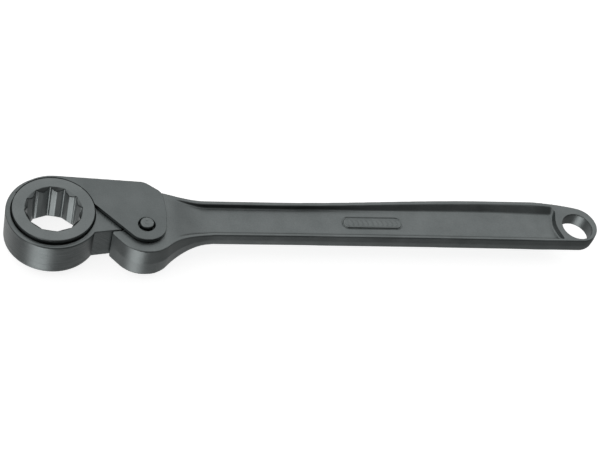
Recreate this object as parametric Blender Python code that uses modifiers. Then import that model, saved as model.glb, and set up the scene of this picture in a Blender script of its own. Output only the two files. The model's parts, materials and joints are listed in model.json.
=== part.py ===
"""Ring wrench with a friction ratchet head, for M20 nuts (30 mm across flats).

A twelve-point ring turns inside a split clamp collar. Two side plates are
fixed to the collar and carry the pin on which the drop-forged handle rocks.
Pulling the handle one way presses its nose against the collar's free arm and
grips the ring; the other way it lets the ring slip.

Plan coordinates: the ring's axis is the origin, +X runs along the handle to
the hanging hole, +Y is the straight side of the head, Z is the ring's axis
with z = 0 at half the tool's thickness.
"""

import math

import bmesh
import bpy

MM = 0.001

# Ring
ACROSS_FLATS = 30.0 * MM
SOCKET_TURN = 4.5  # degrees, turn of the socket's first corner from +X
INSERT_WALL = 4.68 * MM  # between a socket corner and the body's outside
FLANGE_LIP = 3.0 * MM
MOUTH_CHAMFER = 0.35 * MM  # the mouth's chamfer starts this far outside the corners
FLANGE_PROUD = 2.9 * MM  # flange face above the collar's face
INSERT_TAIL = 3.5 * MM  # lower end below the collar's face
WASHER_T = 1.2 * MM
SNAP_RING_T = 1.2 * MM
SNAP_RING_W = 2.4 * MM
SNAP_RING_SEAT = 0.8 * MM  # how deep the snap ring sits in the insert
SNAP_RING_OPENING = 20.0  # degrees

# Clamp collar
COLLAR_WALL = 6.5 * MM
COLLAR_HEIGHT = 23.0 * MM
SEAT_DEPTH = 1.0 * MM  # recess for the flange and the washer
SEAT_GAP = 0.5 * MM
SLIT_W = 2.0 * MM
SLIT_Y = 5.7 * MM
ARM_TIP_Y = -13.3 * MM
ARM_SLOPE = 0.15

# Side plates
PLATE_T = 2.6 * MM
PLATE_RIM = 1.6 * MM  # width of the plate above the ring
PLATE_RIM_SHIFT = 0.9 * MM  # makes that rim taper out
PLATE_RIM_END = 150.0  # degrees round the ring
PLATE_FOOT_R = 12.4 * MM
PLATE_CORNER_R = 9.0 * MM
PLATE_TOP_CORNER = (-2.0 * MM, 25.6 * MM)  # centre from the pin
PLATE_SIDE_CORNER = (3.6 * MM, 21.2 * MM)  # centre from the pin
PLATE_BACK = 69.0 * MM - 56.0 * MM  # furthest point behind the pin
DIAGONAL = 42.3  # degrees, direction square to the slanting edge

# Pins
PIN_BEYOND_COLLAR = 27.2 * MM
PIN_Y = -11.0 * MM
PIN_R = 4.2 * MM
PIN_SHOULDER = 1.3 * MM
PIN_PROUD = 1.6 * MM
PIN_CHAMFER = 0.4 * MM
DOWEL_R = 2.0 * MM
DOWEL_DEPTH = 1.5 * MM  # blind holes in the plates

# Handle head
BOSS_R = 12.0 * MM
LOBE_R = 20.0 * MM
NOSE_REACH = 19.3 * MM
NOSE_TIP_R = 1.6 * MM
THROAT = 3.0 * MM  # room between collar and handle head
HEAD_SIDE_GAP = 0.5 * MM
HEAD_TOP_Y = 17.6 * MM
HEAD_CORNER_R = 3.0 * MM

# Handle shank, distances along it from the pin
NECK_R = 45.0 * MM
NECK_RIM_R = 49.0 * MM
SHANK_LOW_Y = -11.45 * MM
SHANK_TOP_Y = 16.8 * MM
BELLY_Y = 21.4 * MM
SHOULDER_R = 150.0 * MM
FLARE = (10.0 * MM, 24.0 * MM)
BELLY_RISE = (87.0 * MM, 239.0 * MM)
RIM_DROP = (5.0 * MM, 42.0 * MM)
WEB_DROP = (6.0 * MM, 44.0 * MM)
RIM_FROM = 0.7 * MM  # the forged rim starts this far above the machined face
WEB_FROM = 0.9 * MM
RIM_HALF_START = 4.6 * MM
RIM_HALF_END = 5.15 * MM
WEB_HALF = 1.3 * MM
RIM_W = 2.35 * MM
UPPER_RIM_W = 2.8 * MM
WEB_FOOT_Y = 13.8 * MM
WEB_FOOT_FALL = 1.4 * MM  # towards the eye
WEB_FOOT_BEND = (229.0 * MM, 284.0 * MM)
WALL_DRAFT = 0.5 * MM
BADGE = (152.6 * MM, 3.0 * MM)  # centre, from the pin along X and from the axis in Y
BADGE_L = 40.0 * MM
BADGE_W = 8.0 * MM
BADGE_PROUD = 0.5 * MM

# Handle end
REACH = 355.4 * MM  # ring axis to hanging hole
HANG_R = 10.7 * MM
END_R = 15.1 * MM
END_SHIFT = (0.0, 1.9 * MM)  # outline's centre from the hole's
EYE_R = 15.0 * MM
EYE_WALL = 12.8 * MM  # recess's end from the outline's centre

# Spring plunger
PLUNGER_R = 3.0 * MM
PLUNGER_Y = 9.0 * MM
PLUNGER_L = 10.7 * MM
PLUNGER_TIP = 1.0 * MM
SPRING_L = 7.4 * MM
SPRING_WIRE_R = 0.45 * MM
SPRING_TURNS = 6

GAP = 0.3 * MM  # running clearance
PAST = 5.0 * MM  # how far a cutter runs past what it cuts
ARC_STEP = 5.0  # degrees
LATHE_STEPS = 72

# Worked out from the sizes above
CORNER_R = ACROSS_FLATS / 2 / math.cos(math.radians(30))
RIDGE_R = ACROSS_FLATS / 2 / math.cos(math.radians(15))
INSERT_R = CORNER_R + INSERT_WALL
FLANGE_R = INSERT_R + FLANGE_LIP
BORE_R = INSERT_R + GAP
COLLAR_R = BORE_R + COLLAR_WALL
COLLAR_HALF = COLLAR_HEIGHT / 2
SEAT_Z = COLLAR_HALF - SEAT_DEPTH
FLANGE_TOP = COLLAR_HALF + FLANGE_PROUD
PLATE_IN = COLLAR_HALF + GAP
PLATE_OUT = PLATE_IN + PLATE_T
PIN_TOP = PLATE_OUT + PIN_PROUD
HEAD_HALF = PLATE_IN - HEAD_SIDE_GAP
PIN_X = COLLAR_R + PIN_BEYOND_COLLAR
PIN = (PIN_X, PIN_Y)
LUG_X = PIN_X - BOSS_R - THROAT
PLATE_RIM_R = FLANGE_R + GAP + PLATE_RIM
END = (REACH + END_SHIFT[0], END_SHIFT[1])
RIGHT = END[0] + END_R
LOW_Y = PIN_Y - LOBE_R
TOOL_ORIGIN = (-(RIGHT - COLLAR_R) / 2, -(COLLAR_R + LOW_Y) / 2, PIN_TOP)


def on_circle(centre, radius, degrees):
    angle = math.radians(degrees)
    return (centre[0] + radius * math.cos(angle), centre[1] + radius * math.sin(angle))


def arc(centre, radius, start, end):
    """Points along an arc, both ends included; angles in degrees."""
    count = max(1, math.ceil(abs(end - start) / ARC_STEP))
    return [on_circle(centre, radius, start + (end - start) * i / count) for i in range(count + 1)]


def heading(a, b):
    return math.degrees(math.atan2(b[1] - a[1], b[0] - a[0]))


def tangent_normal(a, radius_a, b, radius_b, side):
    """Direction, in degrees, from both centres to the straight line that touches both circles."""
    return heading(a, b) + side * math.degrees(math.acos((radius_a - radius_b) / math.dist(a, b)))


def ease(t):
    """0 to 1 in an S-shaped curve."""
    t = min(1.0, max(0.0, t))
    return (1 - math.cos(math.pi * t)) / 2


def between(x, span):
    """How far x, measured from the pin, lies along a span."""
    return (x - PIN_X - span[0]) / (span[1] - span[0])


# ---------------------------------------------------------------- handle's curves

NECK_X = PIN_X + math.sqrt((LOBE_R + NECK_R) ** 2 - (PIN_Y - SHANK_LOW_Y + NECK_R) ** 2)
SHOULDER = (
    END[0] - math.sqrt((SHOULDER_R - END_R) ** 2 - (END[1] - BELLY_Y + SHOULDER_R) ** 2),
    BELLY_Y - SHOULDER_R,
)


def lower_edge(x):
    """Lower outline of the straight shank: it falls slowly to meet the end's circle."""
    t = (x - NECK_X) / (END[0] - NECK_X)
    return SHANK_LOW_Y - (SHANK_LOW_Y - END[1] + END_R) * max(0.0, t) ** 2


def upper_edge(x):
    """Upper outline from the head to the end's circle."""
    if x > SHOULDER[0]:
        return SHOULDER[1] + math.sqrt(SHOULDER_R**2 - (x - SHOULDER[0]) ** 2)
    flare = (HEAD_TOP_Y - SHANK_TOP_Y) * (1 - ease(between(x, FLARE)))
    return SHANK_TOP_Y + flare + (BELLY_Y - SHANK_TOP_Y) * ease(between(x, BELLY_RISE))


def rim_half(x):
    """Half the thickness of the rim, without the machined head faces."""
    start = HEAD_HALF + RIM_FROM
    taper = (RIM_HALF_END - RIM_HALF_START) * max(0.0, (x - PIN_X) / (REACH - PIN_X))
    return start + (RIM_HALF_START - start) * ease(between(x, RIM_DROP)) + taper


def body_half(x):
    return min(HEAD_HALF, rim_half(x))


def web_half(x):
    start = HEAD_HALF + WEB_FROM
    return start + (WEB_HALF - start) * ease(between(x, WEB_DROP))


def rim_lower(x):
    """Inner edge of the lower rim, which widens towards the lobe."""
    if x > NECK_X:
        return lower_edge(x) + RIM_W
    return SHANK_LOW_Y + RIM_W - NECK_RIM_R + math.sqrt(NECK_RIM_R**2 - (x - NECK_X) ** 2)


def rim_upper(x):
    return min(upper_edge(max(x, PIN_X + FLARE[1])), upper_edge(x)) - UPPER_RIM_W


def stations(start, end, spacing):
    count = max(1, math.ceil(abs(end - start) / spacing))
    return [start + (end - start) * i / count for i in range(count + 1)]


def arm_edge(x):
    """Lower edge of the collar's arm."""
    return ARM_TIP_Y + ARM_SLOPE * (x - LUG_X)


def handle_outline():
    slope = math.degrees(math.atan(ARM_SLOPE))
    tip_x = PIN_X - NOSE_REACH
    tip = (tip_x, arm_edge(tip_x) - GAP - NOSE_TIP_R / math.cos(math.radians(slope)))
    lobe_start = tangent_normal(tip, NOSE_TIP_R, PIN, LOBE_R, -1) + 360
    neck = (NECK_X, SHANK_LOW_Y - NECK_R)
    lobe_end = heading(PIN, neck) + 360
    shoulder_end = heading(SHOULDER, END)
    head_left = PIN_X - BOSS_R
    corner = (head_left + HEAD_CORNER_R, HEAD_TOP_Y - HEAD_CORNER_R)
    points = arc(tip, NOSE_TIP_R, 90 + slope, lobe_start)
    points += arc(PIN, LOBE_R, lobe_start, lobe_end)
    points += arc(neck, NECK_R, lobe_end - 180, 90)[1:]
    points += [(x, lower_edge(x)) for x in stations(NECK_X, END[0], 40 * MM)[1:-1]]
    points += arc(END, END_R, -90, shoulder_end)
    points += arc(SHOULDER, SHOULDER_R, shoulder_end, 90)[1:]
    points += [(x, upper_edge(x)) for x in stations(PIN_X + BELLY_RISE[1], PIN_X + BELLY_RISE[0], 12 * MM)]
    points += [(x, upper_edge(x)) for x in stations(PIN_X + FLARE[1], PIN_X + FLARE[0], 4 * MM)]
    points += arc(corner, HEAD_CORNER_R, 90, 180)
    boss_end = 180 + math.degrees(math.asin((PIN_Y + GAP - arm_edge(head_left)) / BOSS_R))
    return points + arc(PIN, BOSS_R, 180, boss_end)


def handle_side():
    """Side view: half the outline, then its mirror image."""
    left = PIN_X - LOBE_R - PAST
    xs = [left] + stations(PIN_X + RIM_DROP[0], PIN_X + RIM_DROP[1], 1.9 * MM) + [RIGHT + PAST]
    top = [(x, body_half(x)) for x in xs]
    return top + [(x, -z) for x, z in reversed(top)]


def recess_section(x, side):
    """The recess at x: lower rim, floor, slanting upper wall, and a square top past the rim."""
    low, high = rim_lower(x), rim_upper(x)
    foot = min(high - WALL_DRAFT, WEB_FOOT_Y - WEB_FOOT_FALL * ease(between(x, WEB_FOOT_BEND)))
    floor, lip, over = web_half(x), rim_half(x), HEAD_HALF + PAST
    section = [(low, over), (low, lip), (low + WALL_DRAFT, floor), (foot, floor), (high, lip), (high, over)]
    return [(x, y, side * z) for y, z in (section if side > 0 else reversed(section))]


# ---------------------------------------------------------------- collar's and plates' outlines


def plate_top_line():
    """Direction square to the plate's straight upper edge, in degrees."""
    corner = (PIN[0] + PLATE_TOP_CORNER[0], PIN[1] + PLATE_TOP_CORNER[1])
    return tangent_normal((PLATE_RIM_SHIFT, 0), PLATE_RIM_R, corner, PLATE_CORNER_R, 1)


def plate_outline():
    rim_centre = (PLATE_RIM_SHIFT, 0)
    top = (PIN[0] + PLATE_TOP_CORNER[0], PIN[1] + PLATE_TOP_CORNER[1])
    side = (PIN[0] + PLATE_SIDE_CORNER[0], PIN[1] + PLATE_SIDE_CORNER[1])
    top_line = plate_top_line()
    cut_r = FLANGE_R + GAP
    foot_line = 180 + DIAGONAL
    normal = on_circle((0, 0), 1, DIAGONAL)
    distance = PIN[0] * normal[0] + PIN[1] * normal[1] - PLATE_FOOT_R
    cut_start = DIAGONAL - math.degrees(math.acos(distance / cut_r))
    chamfer = tangent_normal(top, PLATE_CORNER_R, side, PLATE_CORNER_R, 1)
    back = tangent_normal(side, PLATE_CORNER_R, PIN, PLATE_FOOT_R, 1)
    points = arc((0, 0), cut_r, cut_start, PLATE_RIM_END)
    points += arc(rim_centre, PLATE_RIM_R, PLATE_RIM_END, top_line)
    points += arc(top, PLATE_CORNER_R, top_line, chamfer)
    points += arc(side, PLATE_CORNER_R, chamfer, back)
    bulge = PLATE_BACK - PLATE_FOOT_R
    start, end = on_circle(side, PLATE_CORNER_R, back), on_circle(PIN, PLATE_FOOT_R, back)
    for t in (0.25, 0.5, 0.75):
        swell = bulge * math.sin(math.pi * t)
        points.append((start[0] + (end[0] - start[0]) * t + swell, start[1] + (end[1] - start[1]) * t))
    return points + arc(PIN, PLATE_FOOT_R, back, foot_line - 360)


def collar_outline():
    top_line = plate_top_line()
    reach = PLATE_RIM_R + PLATE_RIM_SHIFT * math.cos(math.radians(top_line)) - GAP
    top_start = top_line - math.degrees(math.acos(reach / COLLAR_R))
    slope = math.degrees(math.atan(ARM_SLOPE))
    arm_distance = -(arm_edge(0)) * math.cos(math.radians(slope))
    arm_start = -90 + slope + math.degrees(math.acos(arm_distance / COLLAR_R))
    normal = on_circle((0, 0), 1, top_line)
    lug_top = (reach - normal[0] * LUG_X) / normal[1]
    return arc((0, 0), COLLAR_R, top_start, arm_start + 360) + [(LUG_X, arm_edge(LUG_X)), (LUG_X, lug_top)]


# ---------------------------------------------------------------- tools for making pieces


def in_collection(collection, data_or_obj, name=""):
    obj = data_or_obj
    if not isinstance(obj, bpy.types.Object):
        obj = bpy.data.objects.new(name, data_or_obj)
    for old in obj.users_collection:
        old.objects.unlink(obj)
    collection.objects.link(obj)
    return obj


def solid_mesh(curve_obj):
    """Turns a curve object into a welded mesh and removes the curve."""
    bpy.context.view_layer.update()
    graph = bpy.context.evaluated_depsgraph_get()
    mesh = bpy.data.meshes.new_from_object(curve_obj.evaluated_get(graph))
    welding = bmesh.new()
    welding.from_mesh(mesh)
    bmesh.ops.remove_doubles(welding, verts=welding.verts, dist=0.001 * MM)
    bmesh.ops.recalc_face_normals(welding, faces=welding.faces)
    welding.to_mesh(mesh)
    welding.free()
    bpy.data.objects.remove(curve_obj)
    return mesh


def flat_piece(collection, name, points, low, high):
    """A flat outline with thickness from z = low to z = high."""
    curve = bpy.data.curves.new(name, "CURVE")
    curve.dimensions = "2D"
    curve.fill_mode = "BOTH"
    curve.extrude = (high - low) / 2
    spline = curve.splines.new("POLY")
    spline.points.add(len(points) - 1)
    for point, (x, y) in zip(spline.points, points):
        point.co = (x, y, 0, 1)
    spline.use_cyclic_u = True
    obj = in_collection(collection, curve, name)
    mesh = solid_mesh(obj)
    for vertex in mesh.vertices:
        vertex.co.z += (low + high) / 2
    return in_collection(collection, mesh, name)


def turned_piece(collection, name, profile, closed=False, steps=LATHE_STEPS):
    """A profile of (radius, height) points, outer side downwards, turned about Z."""
    mesh = bpy.data.meshes.new(name)
    edges = [(i, i + 1) for i in range(len(profile) - 1)]
    if closed:
        edges.append((len(profile) - 1, 0))
    mesh.from_pydata([(r, 0, z) for r, z in profile], edges, [])
    obj = in_collection(collection, mesh, name)
    screw = obj.modifiers.new("Turn", "SCREW")
    screw.steps = steps
    screw.render_steps = steps
    screw.use_merge_vertices = True
    screw.merge_threshold = 0.001 * MM
    screw.use_smooth_shade = True
    return obj


def post(collection, name, centre, radius, low, high, steps=48):
    """A plain round bar along Z."""
    profile = [(0, high), (radius, high), (radius, low), (0, low)]
    obj = turned_piece(collection, name, profile, steps=steps)
    obj.location = (centre[0], centre[1], 0)
    return obj


def loft(collection, name, sections):
    """A closed solid through sections that all have the same number of points."""
    shape = bmesh.new()
    rings = [[shape.verts.new(point) for point in section] for section in sections]
    for first, second in zip(rings, rings[1:]):
        for i in range(len(first)):
            j = (i + 1) % len(first)
            shape.faces.new((first[i], first[j], second[j], second[i]))
    shape.faces.new(rings[0])
    shape.faces.new(reversed(rings[-1]))
    bmesh.ops.recalc_face_normals(shape, faces=shape.faces)
    mesh = bpy.data.meshes.new(name)
    shape.to_mesh(mesh)
    shape.free()
    return in_collection(collection, mesh, name)


def combine(piece, tool, operation="DIFFERENCE"):
    """Cuts a piece with a tool, joins them or keeps what they share; the tool stays as a guide."""
    boolean = piece.modifiers.new(tool.name, "BOOLEAN")
    boolean.operation = operation
    boolean.solver = "EXACT"
    boolean.object = tool
    tool.hide_render = True
    tool.display_type = "WIRE"
    tool.parent = piece


def finish(name, rgb, roughness, metallic=1.0):
    material = bpy.data.materials.new(name)
    material.use_nodes = True
    shader = material.node_tree.nodes["Principled BSDF"]
    shader.inputs["Base Color"].default_value = (*rgb, 1)
    shader.inputs["Roughness"].default_value = roughness
    shader.inputs["Metallic"].default_value = metallic
    return material


def dress(piece, material):
    piece.data.materials.append(material)
    piece.data.shade_smooth()
    piece.data.set_sharp_from_angle(angle=math.radians(30))


def empty(collection, name, parent, location):
    obj = in_collection(collection, None, name)
    obj.parent = parent
    obj.location = location
    return obj


def put(piece, parent, location=(0, 0, 0)):
    piece.parent = parent
    piece.location = location


# ---------------------------------------------------------------- pieces


def ring_insert(parts, cutters):
    """Flanged twelve-point ring with a groove for its snap ring."""
    groove_r = INSERT_R - SNAP_RING_SEAT - GAP
    washer_low = SEAT_Z + GAP + WASHER_T
    groove_top, groove_low = -washer_low - GAP / 3, -washer_low - GAP - SNAP_RING_T - GAP / 3
    tail = -COLLAR_HALF - INSERT_TAIL
    profile = [(0, FLANGE_TOP), (FLANGE_R, FLANGE_TOP), (FLANGE_R, SEAT_Z + GAP), (INSERT_R, SEAT_Z + GAP)]
    profile += [(INSERT_R, groove_top), (groove_r, groove_top), (groove_r, groove_low), (INSERT_R, groove_low)]
    profile += [(INSERT_R, tail), (0, tail)]
    piece = turned_piece(parts, "ring_insert", profile)
    radii = (CORNER_R, RIDGE_R)
    corners = [on_circle((0, 0), radii[i % 2], SOCKET_TURN + 15 * i) for i in range(24)]
    combine(piece, flat_piece(cutters, "socket_cutter", corners, tail - PAST, FLANGE_TOP + PAST))
    mouth_r, inner_r = CORNER_R + MOUTH_CHAMFER, RIDGE_R - MOUTH_CHAMFER
    for name, face, out in (("top_mouth_cutter", FLANGE_TOP, 1), ("low_mouth_cutter", tail, -1)):
        wide, narrow = face + out * PAST, face - out * (mouth_r - inner_r)
        cone = [(0, wide), (mouth_r + PAST, wide), (inner_r, narrow), (0, narrow)]
        if out < 0:
            cone = [(0, narrow), (inner_r, narrow), (mouth_r + PAST, wide), (0, wide)]
        combine(piece, turned_piece(cutters, name, cone))
    return piece


def retaining_washer(parts):
    top = -SEAT_Z - GAP
    low = top - WASHER_T
    inner = INSERT_R + GAP
    profile = [(FLANGE_R, top), (FLANGE_R, low), (inner, low), (inner, top)]
    return turned_piece(parts, "retaining_washer", profile, closed=True)


def snap_ring(parts):
    top = -SEAT_Z - GAP - WASHER_T - GAP
    inner = INSERT_R - SNAP_RING_SEAT
    half = SNAP_RING_OPENING / 2
    outline = arc((0, 0), inner + SNAP_RING_W, half, 360 - half) + arc((0, 0), inner, 360 - half, half)
    return flat_piece(parts, "snap_ring", outline, top - SNAP_RING_T, top)


def dowel_places():
    low = SLIT_Y + SLIT_W / 2
    return {
        "dowel_pin_lower": (LUG_X - 5.0 * MM, low + 4.5 * MM),
        "dowel_pin_upper": (LUG_X - 10.0 * MM, low + 11.5 * MM),
    }


def clamp_collar(parts, cutters):
    piece = flat_piece(parts, "clamp_collar", collar_outline(), -COLLAR_HALF, COLLAR_HALF)
    past = COLLAR_HALF + PAST
    seat_r = FLANGE_R + SEAT_GAP
    half = [(0, past), (seat_r, past), (seat_r, SEAT_Z), (BORE_R, SEAT_Z)]
    stepped_bore = half + [(r, -z) for r, z in reversed(half)]
    combine(piece, turned_piece(cutters, "collar_bore_cutter", stepped_bore))
    low, high = SLIT_Y - SLIT_W / 2, SLIT_Y + SLIT_W / 2
    inside = BORE_R - PAST
    slit = [(inside, low), (LUG_X + PAST, low), (LUG_X + PAST, high), (inside, high)]
    combine(piece, flat_piece(cutters, "slit_cutter", slit, -past, past))
    for name, place in dowel_places().items():
        combine(piece, post(cutters, f"{name}_hole_cutter", place, DOWEL_R + GAP, -past, past))
    return piece


def cheek_plate(parts, cutters, name, side):
    """One side plate; side is 1 above and -1 below."""
    low, high = sorted((side * PLATE_IN, side * PLATE_OUT))
    piece = flat_piece(parts, name, plate_outline(), low, high)
    combine(piece, post(cutters, f"{name}_pin_cutter", PIN, PIN_R + GAP, low - PAST, high + PAST))
    for dowel, place in dowel_places().items():
        ends = sorted((side * (PLATE_IN - PAST), side * (PLATE_IN + DOWEL_DEPTH)))
        combine(piece, post(cutters, f"{name}_{dowel}_cutter", place, DOWEL_R + GAP, *ends))
    return piece


def pivot_pin(parts):
    """Shouldered pin, its ends proud of the plates."""
    shoulder_r = PIN_R + PIN_SHOULDER
    end_r = PIN_R - PIN_CHAMFER
    half = [(0, PIN_TOP), (end_r, PIN_TOP), (PIN_R, PIN_TOP - PIN_CHAMFER)]
    half += [(PIN_R, COLLAR_HALF), (shoulder_r, COLLAR_HALF)]
    return turned_piece(parts, "pivot_pin", half + [(r, -z) for r, z in reversed(half)])


def dowel_pin(parts, name):
    end = PLATE_IN + DOWEL_DEPTH - GAP
    return post(parts, name, (0, 0), DOWEL_R, -end, end, steps=32)


def handle(parts, cutters):
    """Forged handle: plan outline crossed with the side view, then recesses and bores."""
    past = HEAD_HALF + PAST
    piece = flat_piece(parts, "handle", handle_outline(), -past, past)
    side = flat_piece(cutters, "handle_side_view", handle_side(), LOW_Y - PAST, COLLAR_R + PAST)
    for vertex in side.data.vertices:
        vertex.co = (vertex.co.x, vertex.co.z, vertex.co.y)
    side.data.flip_normals()
    combine(piece, side, "INTERSECT")
    recess_end = END[0] - EYE_WALL
    xs = stations(PIN_X + WEB_DROP[0], PIN_X + WEB_DROP[1], 3.0 * MM)
    xs += stations(PIN_X + WEB_DROP[1], recess_end, 12.0 * MM)[1:]
    for name, way in (("upper_recess_cutter", 1), ("lower_recess_cutter", -1)):
        recess = loft(cutters, name, [recess_section(x, way) for x in xs])
        eye = post(cutters, f"{name}_eye", END, EYE_R, -2 * past, 2 * past, LATHE_STEPS)
        combine(recess, eye)
        combine(piece, recess)
    badge = (PIN_X + BADGE[0], BADGE[1])
    half, end_r = BADGE_L / 2 - BADGE_W / 2, BADGE_W / 2
    plate = arc((badge[0] + half, badge[1]), end_r, -90, 90) + arc((badge[0] - half, badge[1]), end_r, 90, 270)
    level = WEB_HALF + BADGE_PROUD
    combine(piece, flat_piece(cutters, "badge_plate", plate, -level, level), "UNION")
    combine(piece, post(cutters, "hanging_hole_cutter", (REACH, 0), HANG_R, -past, past, LATHE_STEPS))
    pin_bore = PIN_R + PIN_SHOULDER + GAP
    combine(piece, post(cutters, "pin_bore_cutter", PIN, pin_bore, -2 * past, 2 * past))
    depth = PLUNGER_L - THROAT + GAP + GAP + SPRING_L + GAP
    bore = post(cutters, "plunger_bore_cutter", (0, 0), PLUNGER_R + GAP, -PAST, depth, steps=32)
    bore.location = (PIN_X - BOSS_R, PLUNGER_Y, 0)
    bore.rotation_euler = (0, math.radians(90), 0)
    combine(piece, bore)
    return piece


def plunger(parts):
    """Round plunger with a tapered tip, its axis along Z until it is placed."""
    tip = [(0, PLUNGER_L), (PLUNGER_R, PLUNGER_L), (PLUNGER_R, PLUNGER_TIP)]
    return turned_piece(parts, "plunger", tip + [(PLUNGER_R - PLUNGER_TIP, 0), (0, 0)], steps=32)


def plunger_spring(parts):
    """Round-wire helix along Z."""
    per_turn = 14
    mean_r = PLUNGER_R - SPRING_WIRE_R
    climb = SPRING_L - 2 * SPRING_WIRE_R
    curve = bpy.data.curves.new("plunger_spring", "CURVE")
    curve.dimensions = "3D"
    curve.bevel_depth = SPRING_WIRE_R
    curve.bevel_resolution = 2
    curve.use_fill_caps = True
    spline = curve.splines.new("POLY")
    count = per_turn * SPRING_TURNS
    spline.points.add(count)
    for i, point in enumerate(spline.points):
        x, y = on_circle((0, 0), mean_r, 360 * i / per_turn)
        point.co = (x, y, SPRING_WIRE_R + climb * i / count, 1)
    obj = in_collection(parts, curve, "plunger_spring")
    return in_collection(parts, solid_mesh(obj), "plunger_spring")


def main():
    for obj in list(bpy.data.objects):
        bpy.data.objects.remove(obj)
    parts = bpy.data.collections.new("friction_ratchet_wrench")
    cutters = bpy.data.collections.new("cutters")
    bpy.context.scene.collection.children.link(parts)
    bpy.context.scene.collection.children.link(cutters)

    forged = finish("phosphated_forged_steel", (0.145, 0.162, 0.158), 0.45)
    plate = finish("phosphated_plate_steel", (0.150, 0.168, 0.163), 0.42)
    turned = finish("phosphated_turned_steel", (0.155, 0.170, 0.166), 0.38)
    ground = finish("ground_pin_steel", (0.230, 0.240, 0.238), 0.30)
    sprung = finish("oiled_spring_steel", (0.120, 0.120, 0.125), 0.35)

    tool = empty(parts, "tool", None, TOOL_ORIGIN)
    pin_axis = empty(parts, "pin_axis", tool, (*PIN, 0))
    ring_axis = empty(parts, "ring_axis", pin_axis, (-PIN[0], -PIN[1], 0))

    to_ring = (-PIN[0], -PIN[1], 0)
    piece = handle(parts, cutters)
    put(piece, tool)
    dress(piece, forged)
    piece = clamp_collar(parts, cutters)
    put(piece, pin_axis, to_ring)
    dress(piece, forged)
    for name, side in (("cheek_plate_top", 1), ("cheek_plate_bottom", -1)):
        piece = cheek_plate(parts, cutters, name, side)
        put(piece, pin_axis, to_ring)
        dress(piece, plate)
    piece = pivot_pin(parts)
    put(piece, pin_axis)
    dress(piece, ground)
    for name, place in dowel_places().items():
        piece = dowel_pin(parts, name)
        put(piece, pin_axis, (place[0] - PIN[0], place[1] - PIN[1], 0))
        dress(piece, ground)

    for piece in (ring_insert(parts, cutters), retaining_washer(parts)):
        put(piece, ring_axis)
        dress(piece, turned)
    piece = snap_ring(parts)
    put(piece, ring_axis)
    dress(piece, sprung)

    along_x = (0, math.radians(90), 0)
    piece = plunger(parts)
    put(piece, tool, (LUG_X + GAP, PLUNGER_Y, 0))
    piece.rotation_euler = along_x
    dress(piece, ground)
    piece = plunger_spring(parts)
    put(piece, tool, (LUG_X + GAP + PLUNGER_L + GAP, PLUNGER_Y, 0))
    piece.rotation_euler = along_x
    dress(piece, sprung)


if __name__ == "__main__":
    main()
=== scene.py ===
"""Friction ratchet ring wrench: the visible tool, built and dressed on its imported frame.

Every size is in millimetres in the tool's own plan: the ring's axis is the origin,
+X runs along the handle, and z = 0 is half the tool's thickness. Meshes are moved
to the frame's place, in metres, when they are made.
"""

from __future__ import annotations

import json
import logging
import math
from collections.abc import Callable, Sequence
from dataclasses import dataclass, field
from enum import Enum

import bpy
import numpy as np
from mathutils import Matrix, Vector


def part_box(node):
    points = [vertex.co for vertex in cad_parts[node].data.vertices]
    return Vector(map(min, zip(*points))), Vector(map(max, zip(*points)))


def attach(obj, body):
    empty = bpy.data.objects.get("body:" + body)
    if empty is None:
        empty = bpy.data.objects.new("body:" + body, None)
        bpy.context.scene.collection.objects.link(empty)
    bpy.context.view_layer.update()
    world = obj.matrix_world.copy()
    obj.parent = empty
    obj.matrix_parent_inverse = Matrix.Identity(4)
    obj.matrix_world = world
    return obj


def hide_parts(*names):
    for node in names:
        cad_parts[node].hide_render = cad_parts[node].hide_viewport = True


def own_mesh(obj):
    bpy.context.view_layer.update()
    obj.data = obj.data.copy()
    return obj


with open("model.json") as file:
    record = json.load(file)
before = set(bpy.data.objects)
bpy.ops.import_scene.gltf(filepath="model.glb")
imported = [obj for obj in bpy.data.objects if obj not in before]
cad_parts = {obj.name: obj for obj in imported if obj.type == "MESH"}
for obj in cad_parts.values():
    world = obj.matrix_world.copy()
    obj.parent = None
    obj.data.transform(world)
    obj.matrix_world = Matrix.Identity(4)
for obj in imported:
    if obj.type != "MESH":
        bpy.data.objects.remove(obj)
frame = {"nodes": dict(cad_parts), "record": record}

LOG = logging.getLogger("ring_wrench")
MM = 0.001
DOWELS = ("dowel_pin_lower", "dowel_pin_upper")
Array = np.ndarray
Point = tuple[float, float]


# ------------------------------------------------------------------ frame


def joint_place(name: str) -> Vector:
    """Where a joint's axis passes, in metres.

    Args:
        name: the joint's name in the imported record.

    Returns:
        The point that the record gives.
    """
    joints = frame["record"]["behaviour"]["joints"]
    return Vector(next(joint["pos_m"] for joint in joints if joint["name"] == name))


RING_PLACE = joint_place("ring_spin")
PIN_PLACE = joint_place("handle_pivot")


def plan_box(node: str) -> tuple[Array, Array]:
    """Lowest and highest corner of a CAD node, in the tool's plan."""
    low, high = (np.array(corner) / MM - np.array(RING_PLACE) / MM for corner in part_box(node))
    return low, high


def half_size(node: str, axis: int) -> float:
    """Half a CAD node's size along an axis (0, 1 or 2), in millimetres."""
    low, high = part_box(node)
    return (high[axis] - low[axis]) / 2 / MM


def top_of(node: str) -> float:
    """Highest point of a CAD node above the tool's mid-plane, in millimetres."""
    return (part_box(node)[1][2] - RING_PLACE.z) / MM


# ------------------------------------------------------------------ plan curves


def on_circle(centre: Point, radius: float, degrees: float) -> Point:
    """The point of a circle at an angle from +X."""
    angle = math.radians(degrees)
    return centre[0] + radius * math.cos(angle), centre[1] + radius * math.sin(angle)


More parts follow.
